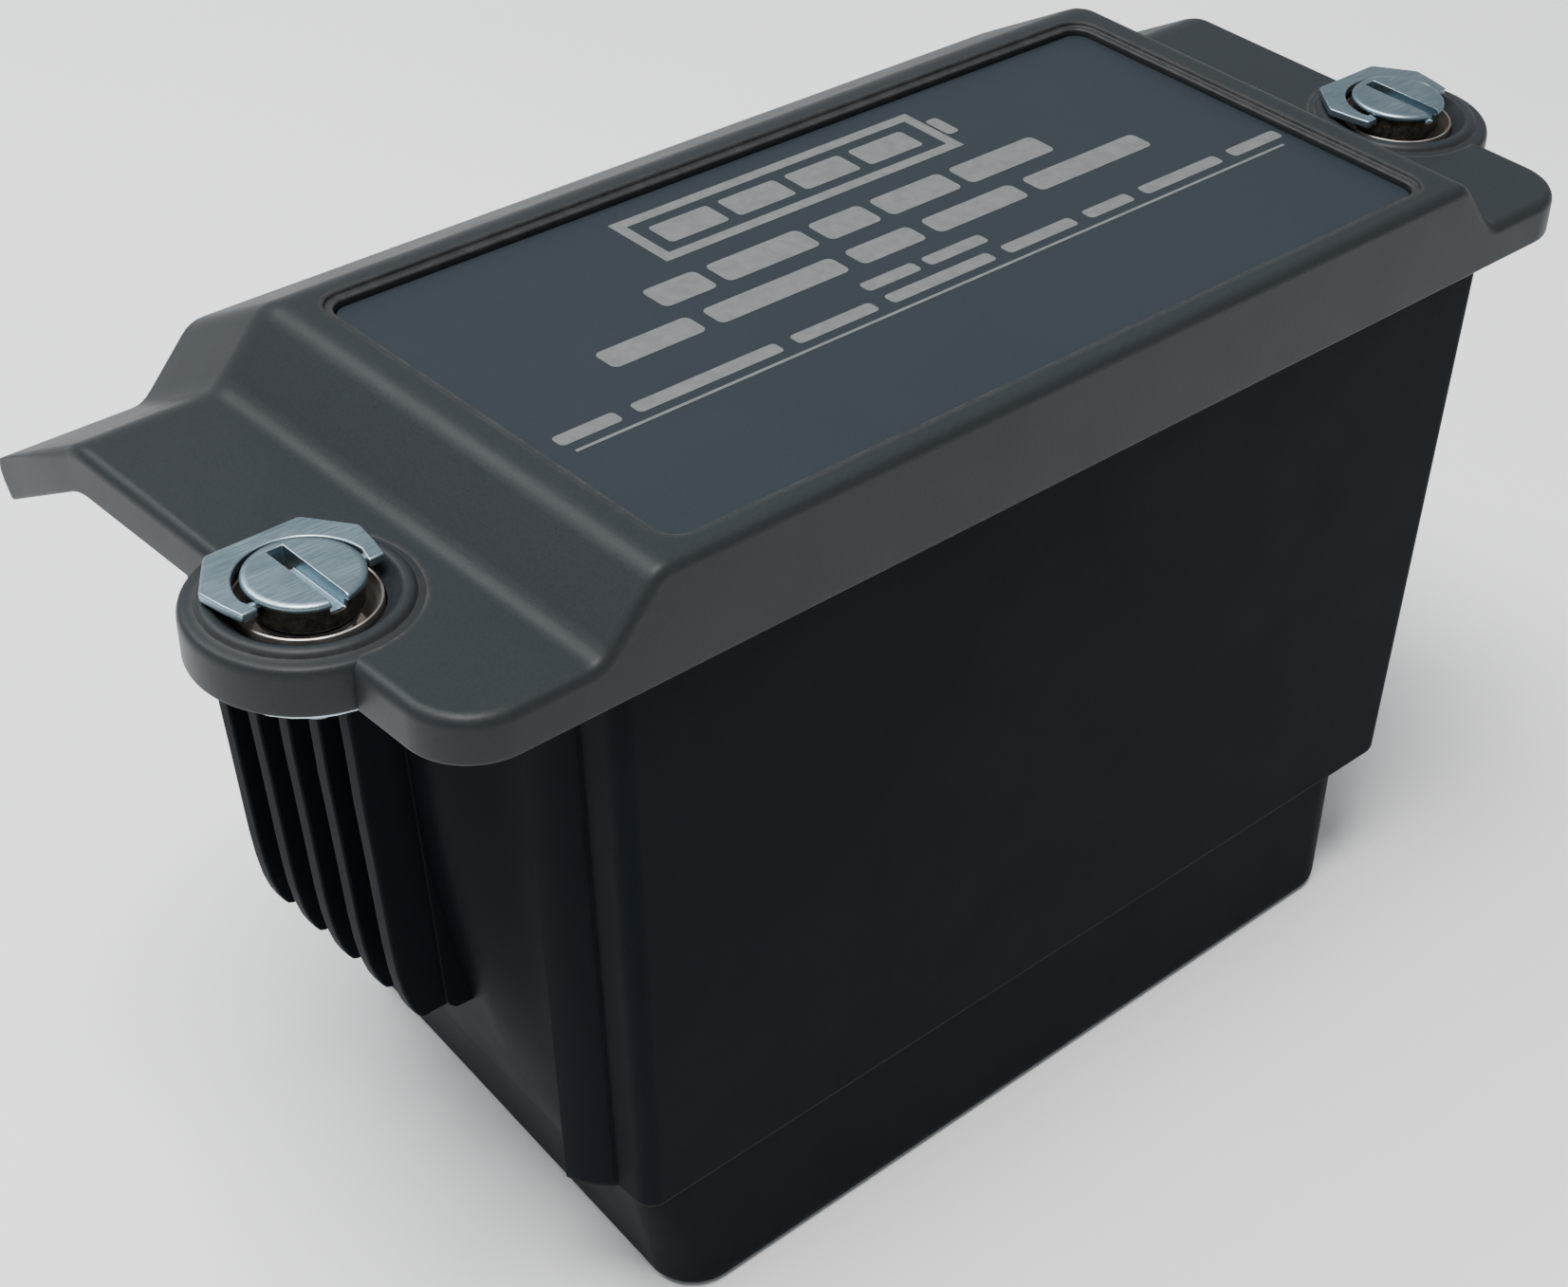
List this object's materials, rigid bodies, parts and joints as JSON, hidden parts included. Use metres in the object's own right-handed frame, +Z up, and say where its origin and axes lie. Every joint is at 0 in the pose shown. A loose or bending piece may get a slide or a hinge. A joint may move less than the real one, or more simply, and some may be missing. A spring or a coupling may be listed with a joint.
{
  "type": "removable battery pack",
  "caption": "Rectangular rechargeable battery pack with a raised, recessed cover, skirted flange, finned ends and folding-wing quarter-turn fasteners.",
  "frame": {"origin": "centre of the bounding box's bottom face, on the surface the pack stands on", "axes": "+Z up through the cover, +X along the long side towards the end with the output contacts, -Y towards the flat front panel"},
  "size_m": [0.204, 0.0862, 0.1156],
  "materials": {
    "cover_plastic": "fine matt texture, dark slate",
    "case_plastic": "fine matt texture, near black",
    "label_film": "satin printed film",
    "seal_rubber": "matt",
    "fastener_steel": "satin plated",
    "ferrule_metal": "turned, lightly brushed",
    "spring_steel": "plated",
    "cell_wrap": "shrink wrap over metal can",
    "carrier_plastic": "moulded",
    "nickel_strip": "bright strip",
    "barrier_sheet": "fibre sheet",
    "foam_pad": "closed-cell foam",
    "circuit_board": "solder mask",
    "component_body": "moulded package",
    "fuse_body": "moulded",
    "connector_plastic": "moulded",
    "red_wire": "insulation",
    "black_wire": "insulation"
  },
  "bodies": {
    "pack": {"back_cell_carrier": "carrier_plastic", "back_insulator": "barrier_sheet", "blade_fuse": "fuse_body", "busbar_back_1": "nickel_strip", "busbar_back_2": "nickel_strip", "busbar_back_3": "nickel_strip", "busbar_front_1": "nickel_strip", "busbar_front_2": "nickel_strip", "busbar_front_3": "nickel_strip", "carrier_screw_1": "spring_steel", "carrier_screw_2": "spring_steel", "carrier_screw_3": "spring_steel", "carrier_screw_4": "spring_steel", "case_tub": "case_plastic", "cell_row1_col1": "cell_wrap", "cell_row1_col2": "cell_wrap", "cell_row1_col3": "cell_wrap", "cell_row1_col4": "cell_wrap", "cell_row1_col5": "cell_wrap", "cell_row2_col1": "cell_wrap", "cell_row2_col2": "cell_wrap", "cell_row2_col3": "cell_wrap", "cell_row2_col4": "cell_wrap", "cell_row2_col5": "cell_wrap", "cell_row3_col1": "cell_wrap", "cell_row3_col2": "cell_wrap", "cell_row3_col3": "cell_wrap", "cell_row3_col4": "cell_wrap", "cell_row3_col5": "cell_wrap", "cell_thermistor": "component_body", "front_cell_carrier": "carrier_plastic", "front_insulator": "barrier_sheet", "label_panel": "label_film", "left_ferrule": "ferrule_metal", "left_lift_spring": "spring_steel", "left_retaining_washer": "fastener_steel", "lid_gasket": "seal_rubber", "negative_lead": "black_wire", "output_contact_1": "nickel_strip", "output_contact_2": "nickel_strip", "output_contact_3": "nickel_strip", "output_contact_block": "connector_plastic", "positive_lead": "red_wire", "power_transistor_1": "component_body", "power_transistor_2": "component_body", "protection_board": "circuit_board", "right_ferrule": "ferrule_metal", "right_lift_spring": "spring_steel", "right_retaining_washer": "fastener_steel", "top_cover": "cover_plastic", "top_foam_pad": "foam_pad"},
    "left_collar": {"left_thrust_collar": "spring_steel"},
    "left_turnstud": {"left_stud": "fastener_steel"},
    "left_wing": {"left_folding_wing": "fastener_steel"},
    "right_collar": {"right_thrust_collar": "spring_steel"},
    "right_turnstud": {"right_stud": "fastener_steel"},
    "right_wing": {"right_folding_wing": "fastener_steel"}
  },
  "joints": [
    {"name": "left_stud_lift", "type": "slide", "parent": "pack", "child": "left_collar", "axis": [0, 0, 1], "range_m": [0, 0.0038], "deforming": ["left_lift_spring"]},
    {"name": "left_stud_turn", "type": "hinge", "parent": "left_collar", "child": "left_turnstud", "pos_m": [-0.089, -0.0142, 0.1072], "axis": [0, 0, 1], "range_deg": [0, 90]},
    {"name": "left_wing_fold", "type": "hinge", "parent": "left_turnstud", "child": "left_wing", "pos_m": [-0.089, -0.0148, 0.10905], "axis": [1, 0, 0], "range_deg": [0, 95]},
    {"name": "right_stud_lift", "type": "slide", "parent": "pack", "child": "right_collar", "axis": [0, 0, 1], "range_m": [0, 0.0038], "deforming": ["right_lift_spring"]},
    {"name": "right_stud_turn", "type": "hinge", "parent": "right_collar", "child": "right_turnstud", "pos_m": [0.089, -0.0142, 0.1072], "axis": [0, 0, 1], "range_deg": [0, 90]},
    {"name": "right_wing_fold", "type": "hinge", "parent": "right_turnstud", "child": "right_wing", "pos_m": [0.089, -0.0148, 0.10905], "axis": [1, 0, 0], "range_deg": [0, 95]}
  ]
}
